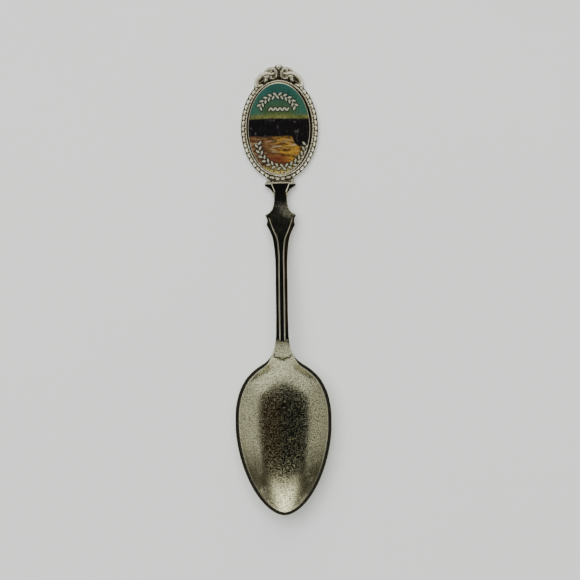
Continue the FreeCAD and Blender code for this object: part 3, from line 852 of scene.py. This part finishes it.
def stamped_metal():
    """Plated steel: polished on rim and stem, grainy satin in the bowl and its heel, pitted at the head."""
    polished = (0.66, 0.64, 0.52)
    satin_light = (0.70, 0.69, 0.485)
    satin_dark = (0.12, 0.113, 0.068)
    wall_painted_shade = (0.27, 0.26, 0.165)
    tarnish_and_painted_dark = (0.075, 0.067, 0.04)
    pit_grey = (0.2, 0.21, 0.15)
    grime_and_painted_shade = (0.012, 0.011, 0.008)

    n = Nodes("stamped_metal_plated")
    x = n.axis("X")
    y = n.axis("Y")
    side = n.math("ABSOLUTE", x)
    satin = n.attribute("satin")
    grain = n.noise(0.3, detail=2.0, roughness=0.7)
    specks = n.ramp(n.noise(0.28, detail=1.0), 0.5, 0.6)
    pits = n.noise(0.3, detail=2.0, roughness=0.6)
    patches = n.noise(5.0, detail=4.0, roughness=0.6)

    # Where each look belongs.
    head = n.ramp(y, 11.0, 15.0)
    pitted = n.math("MULTIPLY", head, n.ramp(pits, 0.5, 0.66))
    # Low on the bowl's sides: mottled patina, darkened further as a painted dark reflection.
    low_bowl = n.ramp(y, -48.0, -38.0, 1.0, 0.0)
    low_sides = n.math("MULTIPLY", low_bowl, n.ramp(side, 2.5, 5.5))
    tarnish_and_dark_reflection = n.math("MULTIPLY", n.ramp(patches, 0.3, 0.52), n.math("MULTIPLY", low_sides, satin))
    # Painted shade: a darker colour on the bowl's side walls.
    wall = n.math("MULTIPLY", n.ramp(side, 5.5, 8.0), n.ramp(y, -22.0, -26.0))
    rim = n.math("MULTIPLY", n.ramp(y, -17.0, -19.0), n.math("SUBTRACT", 1.0, satin))
    tongue = n.math("MULTIPLY", satin, n.ramp(y, -18.0, -16.5))
    worn_head = n.math("MULTIPLY", n.ramp(y, 16.5, 19.5), n.ramp(y, 23.5, 21.0))
    to_upper_right = n.math("ADD", n.math("MULTIPLY", x, 1.6), y)
    worn_head = n.math("MULTIPLY", worn_head, n.ramp(to_upper_right, 17.5, 22.0, 0.2, 1.0))

    base = n.mix(satin, polished, n.mix(n.ramp(grain, 0.38, 0.5), satin_dark, satin_light))
    # Painted shade on the bowl's side walls.
    base = n.mix(n.math("MULTIPLY", wall, n.math("MULTIPLY", satin, 0.68)), base, wall_painted_shade)
    # Patina and a painted dark reflection low on the bowl's sides.
    base = n.mix(n.math("MULTIPLY", tarnish_and_dark_reflection, 0.9), base, tarnish_and_painted_dark)
    base = n.mix(n.math("MULTIPLY", pitted, 0.6), base, pit_grey)
    # Painted shade, with some grime, darkens the crease along the heel's bracket.
    base = n.mix(n.attribute("crease"), base, grime_and_painted_shade)

    rough = 0.07
    satin_specks = n.math("MULTIPLY", satin, specks)
    for place, extra in (
        (satin, 0.06), (rim, 0.2), (satin_specks, 0.4), (tongue, 0.2), (worn_head, 0.17), (pitted, 0.14),
    ):
        rough = n.math("ADD", rough, n.math("MULTIPLY", place, extra))

    relief = n.math("MULTIPLY", grain, n.math("MULTIPLY", satin, 0.32))
    relief = n.math("ADD", relief, n.math("MULTIPLY", head, n.math("MULTIPLY", pits, 0.25)))
    n.bump(relief, 1.0, 0.06)
    n.set(Base_Color=base, Metallic=1.0, Roughness=rough)
    return n.material


def cast_metal():
    """Plated casting: bright where it stands out and dark in its recesses, partly patina and partly painted
    shade.
    """
    worn_dull = (0.74, 0.69, 0.53)
    worn_bright = (0.93, 0.90, 0.76)
    tarnish_and_painted_dark = (0.075, 0.065, 0.04)

    n = Nodes("cast_metal_plated")
    shade_and_tarnish = n.attribute("shade_and_tarnish")
    grain = n.noise(0.3, detail=2.0)
    patches = n.noise(2.5, detail=3.0)
    # The recesses, the seams and the crest's edge take a darker colour: painted shade, partly patina.
    base = n.mix(shade_and_tarnish, n.mix(n.ramp(patches, 0.35, 0.65), worn_dull, worn_bright), tarnish_and_painted_dark)
    rough = n.math("ADD", n.math("MULTIPLY", shade_and_tarnish, 0.28), n.ramp(grain, 0.3, 0.7, 0.2, 0.34))
    n.bump(grain, 0.5, 0.03)
    n.set(Base_Color=base, Metallic=1.0, Roughness=rough)
    return n.material


def solder_metal():
    """Soft solder under plating: bright and a little uneven."""
    dull = (0.74, 0.71, 0.62)
    bright = (0.93, 0.91, 0.84)

    n = Nodes("solder_plated")
    grain = n.noise(0.4, detail=3.0)
    n.bump(grain, 0.3, 0.03)
    base = n.mix(n.ramp(grain, 0.3, 0.7), dull, bright)
    n.set(Base_Color=base, Metallic=1.0, Roughness=n.ramp(grain, 0.3, 0.7, 0.2, 0.32))
    return n.material


def printed_sky(n, x, shore_y, soft, fine):
    """Teal at the edges and top, green towards the shore, with a yellow haze along it."""
    teal = (0.018, 0.068, 0.047)
    deep_green = (0.011, 0.055, 0.045)
    low_green = (0.030, 0.056, 0.018)
    haze_light = (0.115, 0.115, 0.035)
    haze_dark = (0.055, 0.065, 0.014)
    cloud_shade = (0.006, 0.02, 0.012)

    from_middle = n.math("ABSOLUTE", n.math("ADD", x, 0.3))
    sky = n.mix(n.ramp(n.axis("Y"), 50.5, 45.2), deep_green, low_green)
    sky = n.mix(n.ramp(from_middle, 2.0, 7.0), sky, teal)
    haze = n.mix(n.ramp(fine, 0.4, 0.6), haze_light, haze_dark)
    sky = n.mix(n.ramp(shore_y, 45.2, 44.0), sky, haze)
    return n.mix(n.ramp(soft, 0.45, 0.7, 0.0, 0.45), sky, cloud_shade)


def printed_water(n, x, y, wobble):
    """Golden ripples, paler foam higher up, a red-brown patch in the middle and straw at the foot."""
    trough = (0.022, 0.010, 0.004)
    golden_left = (0.105, 0.05, 0.02)
    golden_right = (0.25, 0.135, 0.016)
    foam_colour = (0.26, 0.19, 0.11)
    patch_colour = (0.075, 0.014, 0.008)
    straw_dark = (0.05, 0.035, 0.008)
    straw_light = (0.32, 0.26, 0.085)
    patch_x, patch_y = -0.6, 33.1
    patch_half_width, patch_half_height = 3.0, 1.9

    golden = n.mix(n.ramp(n.math("ADD", x, wobble), -4.5, 2.5), golden_left, golden_right)
    ripples = n.noise(1.1, detail=5.0, roughness=0.7, stretch=(0.6, 1.8, 1.0))
    water = n.mix(n.ramp(ripples, 0.38, 0.62), trough, golden)
    streaks = n.noise(0.9, detail=3.0, roughness=0.6, stretch=(0.3, 1.8, 1.0))
    foam = n.math("MULTIPLY", n.ramp(streaks, 0.54, 0.66), n.ramp(y, 34.5, 37.5, 0.35, 1.0))
    water = n.mix(foam, water, foam_colour)
    across = n.math("POWER", n.math("DIVIDE", n.math("SUBTRACT", x, patch_x), patch_half_width), 2.0)
    along = n.math("POWER", n.math("DIVIDE", n.math("SUBTRACT", y, patch_y), patch_half_height), 2.0)
    patch = n.ramp(n.math("ADD", n.math("ADD", across, along), wobble), 1.3, 0.2)
    water = n.mix(n.math("MULTIPLY", patch, 0.75), water, patch_colour)
    from_middle = n.math("ABSOLUTE", n.math("ADD", x, 0.3))
    straw = n.ramp(n.math("ADD", y, n.math("MULTIPLY", from_middle, -0.08)), 31.6, 30.3)
    stalks = n.noise(0.5, detail=3.0, roughness=0.6, stretch=(2.2, 0.8, 1.0))
    return n.mix(straw, water, n.mix(n.ramp(stalks, 0.4, 0.62), straw_dark, straw_light))


def picture():
    """A printed landscape under clear lacquer: sky, a low dark shore and rippled golden water."""
    shore_dark = (0.004, 0.0035, 0.004)
    shore_light = (0.05, 0.042, 0.04)
    halo_dark = (0.006, 0.008, 0.006)
    leaf_cream = (0.25, 0.25, 0.175)
    bare_edge = (0.72, 0.68, 0.52)

    n = Nodes("picture_lacquered")
    x = n.axis("X")
    y = n.axis("Y")
    soft = n.noise(3.0, detail=4.0, roughness=0.6)
    fine = n.noise(0.5, detail=3.0, roughness=0.6)
    wobble = n.math("MULTIPLY", n.math("SUBTRACT", soft, 0.5), 1.6)
    shore_y = n.math("ADD", y, n.math("MULTIPLY", wobble, 0.45))

    strokes = n.noise(1.1, detail=3.0, roughness=0.7, stretch=(1.6, 0.7, 1.0))
    shore = n.mix(n.ramp(strokes, 0.58, 0.7), shore_dark, shore_light)
    right_drop = n.ramp(n.math("ADD", x, wobble), 2.8, 5.0, 0.0, 2.6)
    lower_edge = n.math("ADD", shore_y, right_drop)
    base = n.mix(n.ramp(lower_edge, 39.3, 38.7), shore, printed_water(n, x, y, wobble))
    base = n.mix(n.ramp(shore_y, 43.4, 43.8), base, printed_sky(n, x, shore_y, soft, fine))

    edge = n.attribute("rolled_edge")
    base = n.mix(n.math("MULTIPLY", n.attribute("halo"), 0.85), base, halo_dark)
    base = n.mix(n.ramp(n.attribute("raised"), 0.35, 0.9), base, leaf_cream)
    base = n.mix(edge, base, bare_edge)
    n.bump(fine, 0.08, 0.02)
    n.set(Base_Color=base, Roughness=0.3, Metallic=edge, Coat_Weight=0.8, Coat_Roughness=0.05)
    n.set(Specular_IOR_Level=0.4)
    return n.material


def plain_inner(name, light, dark, size_mm, roughness):
    """Glue or board inside the finial: slightly mottled and dull."""
    n = Nodes(name)
    mottle = n.noise(size_mm, detail=3.0)
    n.bump(mottle, 0.3, 0.05)
    n.set(Base_Color=n.mix(mottle, dark, light), Roughness=roughness)
    return n.material


# --- Light, floor and camera ---


def studio_world():
    """A soft surround for the metal to mirror: pale towards the bowl, dimmer behind the finial, with a dark
    patch overhead, where the viewer stands, and one soft window beyond it."""
    world = bpy.data.worlds.new("studio")
    world.use_nodes = True
    tree = world.node_tree
    tree.nodes.clear()
    output = tree.nodes.new("ShaderNodeOutputWorld")
    background = tree.nodes.new("ShaderNodeBackground")
    tree.links.new(background.outputs[0], output.inputs[0])
    split = tree.nodes.new("ShaderNodeSeparateXYZ")
    tree.links.new(tree.nodes.new("ShaderNodeTexCoord").outputs["Generated"], split.inputs[0])
    x, y, z = split.outputs

    def connect(value, socket):
        if isinstance(value, (int, float)):
            socket.default_value = value
        elif isinstance(value, tuple):
            socket.default_value = (*value, 1.0)
        else:
            tree.links.new(value, socket)

    def calculate(operation, first, second=0.0):
        node = tree.nodes.new("ShaderNodeMath")
        node.operation = operation
        connect(first, node.inputs[0])
        connect(second, node.inputs[1])
        return node.outputs[0]

    def step(value, low, high, start, end):
        node = tree.nodes.new("ShaderNodeMapRange")
        node.interpolation_type = "SMOOTHSTEP"
        for key, number in (("Value", value), ("From Min", low), ("From Max", high)):
            connect(number, node.inputs[key])
        connect(start, node.inputs["To Min"])
        connect(end, node.inputs["To Max"])
        return node.outputs[0]

    def mix(share, first, second):
        node = tree.nodes.new("ShaderNodeMix")
        node.data_type = "RGBA"
        connect(share, node.inputs["Factor"])
        connect(first, node.inputs[6])
        connect(second, node.inputs[7])
        return node.outputs[2]

    pale = (1.12, 1.12, 1.05)
    dim = (0.24, 0.23, 0.20)
    skyline = (1.2, 1.2, 1.12)
    left_shade = (0.3, 0.29, 0.25)
    patch_black = (0.009, 0.010, 0.011)
    patch_brown = (0.030, 0.018, 0.010)
    patch_edge = (0.050, 0.043, 0.028)
    window_light = (2.9, 2.85, 2.45)

    # A direction's place on a flat ceiling one unit up, so that patch and window are ruled off like panels.
    height = calculate("MAXIMUM", z, 0.02)
    ceiling_x = calculate("DIVIDE", x, height)
    ceiling_y = calculate("DIVIDE", y, height)
    aside = calculate("ABSOLUTE", ceiling_x)

    surround = mix(step(y, 0.0, 0.6, 0.0, 1.0), pale, dim)
    surround = mix(step(z, 0.06, 0.26, 0.0, 1.0), skyline, surround)
    surround = mix(step(x, -0.6, 0.1, 0.3, 0.0), surround, left_shade)

    across = step(aside, 1.8, 2.2, 1.0, 0.0)
    towards_tip = step(ceiling_y, -1.1, -0.95, 0.0, 1.0)
    towards_finial = step(ceiling_y, 0.68, 1.5, 1.0, 0.0)
    dark = calculate("MULTIPLY", across, calculate("MULTIPLY", towards_tip, towards_finial))
    patch = mix(step(x, 0.04, 0.4, 0.0, 1.0), patch_black, patch_brown)
    patch = mix(step(ceiling_y, 0.68, 0.95, 0.0, 1.0), patch, patch_edge)
    colour = mix(dark, surround, patch)

    window_start = step(ceiling_y, 0.6, 1.3, 0.0, 1.0)
    window_end = step(ceiling_y, 2.5, 5.0, 1.0, 0.0)
    window_side = step(aside, 0.1, 1.9, 1.0, 0.0)
    window = calculate("MULTIPLY", window_side, calculate("MULTIPLY", window_start, window_end))
    colour = mix(window, colour, window_light)
    connect(colour, background.inputs["Color"])
    bpy.context.scene.world = world


def overhead_lamp():
    """A wide soft lamp for the matt surfaces. The metal mirrors only the surround."""
    light = bpy.data.lights.new("overhead", "AREA")
    light.size = LAMP_SIZE_M
    light.energy = LAMP_WATTS
    lamp = bpy.data.objects.new("overhead", light)
    lamp.location = LAMP_PLACE_M
    lamp.rotation_euler = (-lamp.location).to_track_quat("-Z", "Y").to_euler()
    lamp.visible_glossy = False
    bpy.context.scene.collection.objects.link(lamp)


def floor():
    """A plain pale floor, a hair below the spoon."""
    half = FLOOR_HALF_SIZE
    corners = [(-half, -half, 0), (half, -half, 0), (half, half, 0), (-half, half, 0)]
    ground = new_object("floor", corners, [[0, 1, 2, 3]])
    ground.location.z = FLOOR_Z * MM
    n = Nodes("floor_pale")
    mottle = n.noise(60.0, detail=2.0)
    n.set(Base_Color=n.mix(mottle, (0.71, 0.74, 0.725), (0.75, 0.78, 0.765)), Roughness=0.9)
    ground.data.materials.append(n.material)


def camera():
    """Straight overhead, turned so that the finial leans a little to the left."""
    lens = bpy.data.cameras.new("camera")
    lens.sensor_width = 36.0
    lens.lens = lens.sensor_width * (CAMERA_HEIGHT - SUBJECT_HEIGHT) / VIEW_WIDTH
    lens.clip_start = 0.01
    lens.clip_end = 20.0
    eye = bpy.data.objects.new("camera", lens)
    eye.location = (CAMERA_X * MM, CAMERA_Y * MM, CAMERA_HEIGHT * MM)
    eye.rotation_euler = (0.0, 0.0, math.radians(CAMERA_TURN_DEGREES))
    bpy.context.scene.collection.objects.link(eye)
    bpy.context.scene.camera = eye


# --- Assembly ---

def dress(thing, material, node):
    """Gives a finer mesh its material and puts it in the place of a CAD node."""
    thing.data.materials.append(material)
    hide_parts(node)
    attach(thing, "root")


def recolour(node, material):
    """Keeps a CAD node as it is and gives it a material."""
    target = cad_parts[node]
    target.data.materials.clear()
    target.data.materials.append(material)


dress(bowl_and_stem(), stamped_metal(), "bowl_and_stem")
dress(finial_frame(), cast_metal(), "finial_frame")
dress(solder_fillet(), solder_metal(), "solder_seam")
dress(picture_plate(), picture(), "picture_plate")
recolour("adhesive_pad", plain_inner("glue", (0.62, 0.5, 0.26), (0.45, 0.34, 0.15), 1.5, 0.4))
recolour("plate_backing", plain_inner("board", (0.5, 0.46, 0.38), (0.34, 0.3, 0.23), 0.4, 0.9))

floor()
studio_world()
overhead_lamp()
camera()
